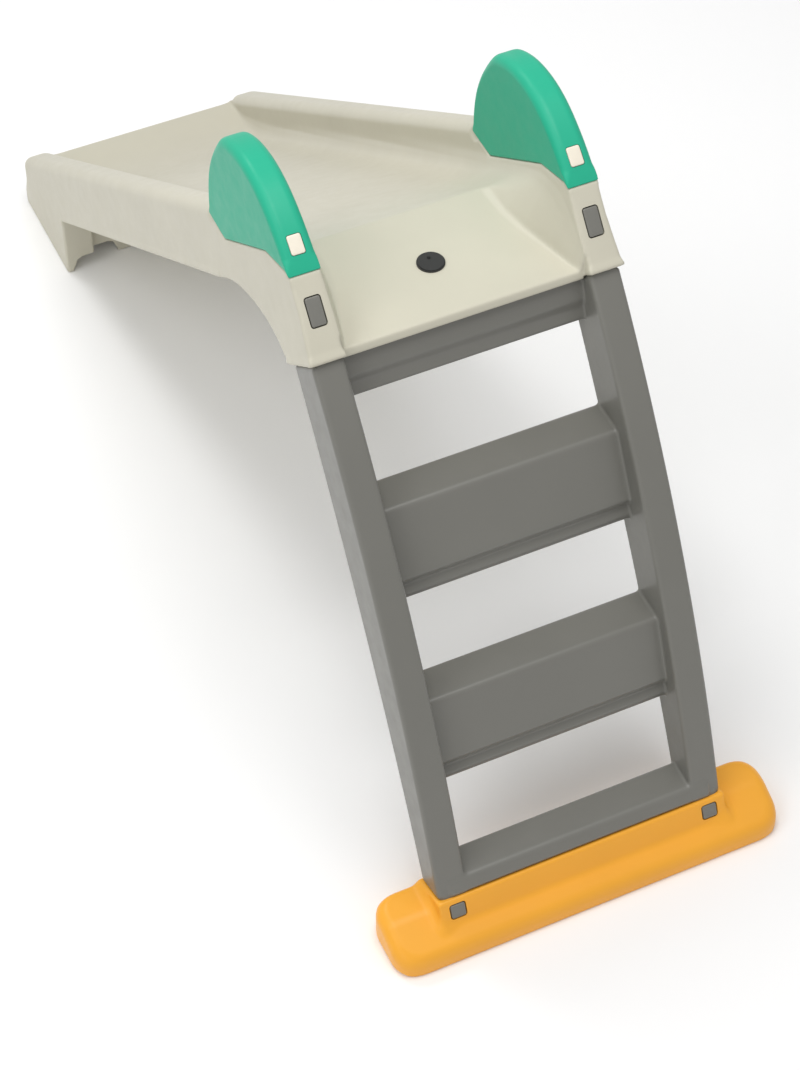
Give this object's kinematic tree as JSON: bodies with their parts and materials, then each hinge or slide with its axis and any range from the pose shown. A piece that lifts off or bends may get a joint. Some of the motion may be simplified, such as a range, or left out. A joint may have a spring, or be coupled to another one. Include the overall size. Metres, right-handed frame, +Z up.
{
  "type": "toddler slide",
  "caption": "Small moulded slide with a platform, side walls, plug-on handles, a step ladder, a wide foot, sprung lock tabs and a water nozzle in the platform.",
  "frame": {"origin": "on the ground, under the middle of the slide's length and width", "axes": "+X is the sliding direction, from the ladder to the exit; +Y is the rider's left; +Z is up"},
  "size_m": [1.256, 0.44, 0.6824],
  "materials": {
    "beige_plastic": "smooth satin moulded polyethylene",
    "green_plastic": "smooth satin moulded polyethylene",
    "grey_plastic": "smooth satin moulded polyethylene",
    "orange_plastic": "smooth satin moulded polyethylene",
    "cream_plastic": "smooth satin plastic",
    "dark_plastic": "satin injection-moulded plastic",
    "black_rubber": "matte rubber"
  },
  "bodies": {
    "slide": {"chute": "beige_plastic", "left_handle": "green_plastic", "right_handle": "green_plastic", "ladder": "grey_plastic", "foot": "orange_plastic", "spray_nozzle": "dark_plastic", "nozzle_seal": "black_rubber", "nozzle_nut": "dark_plastic", "hose_adapter": "dark_plastic"},
    "left_handle_tab": {"left_handle_tab": "cream_plastic"},
    "right_handle_tab": {"right_handle_tab": "cream_plastic"},
    "left_sleeve_tab": {"left_sleeve_tab": "grey_plastic"},
    "right_sleeve_tab": {"right_sleeve_tab": "grey_plastic"},
    "left_foot_tab": {"left_foot_tab": "grey_plastic"},
    "right_foot_tab": {"right_foot_tab": "grey_plastic"}
  },
  "joints": [
    {"name": "left_handle_tab_press", "type": "slide", "parent": "slide", "child": "left_handle_tab", "axis": [0.6626, 0, -0.749], "range_m": [0, 0.006], "stiffness_N_per_m": 1200, "springref_m": -0.004},
    {"name": "right_handle_tab_press", "type": "slide", "parent": "slide", "child": "right_handle_tab", "axis": [0.6626, 0, -0.749], "range_m": [0, 0.006], "stiffness_N_per_m": 1200, "springref_m": -0.004},
    {"name": "left_sleeve_tab_press", "type": "slide", "parent": "slide", "child": "left_sleeve_tab", "axis": [0.7694, 0, -0.6388], "range_m": [0, 0.0075], "stiffness_N_per_m": 1200, "springref_m": -0.004},
    {"name": "right_sleeve_tab_press", "type": "slide", "parent": "slide", "child": "right_sleeve_tab", "axis": [0.7694, 0, -0.6388], "range_m": [0, 0.0075], "stiffness_N_per_m": 1200, "springref_m": -0.004},
    {"name": "left_foot_tab_press", "type": "slide", "parent": "slide", "child": "left_foot_tab", "axis": [0.9191, 0, -0.3939], "range_m": [0, 0.006], "stiffness_N_per_m": 1200, "springref_m": -0.004},
    {"name": "right_foot_tab_press", "type": "slide", "parent": "slide", "child": "right_foot_tab", "axis": [0.9191, 0, -0.3939], "range_m": [0, 0.006], "stiffness_N_per_m": 1200, "springref_m": -0.004}
  ]
}
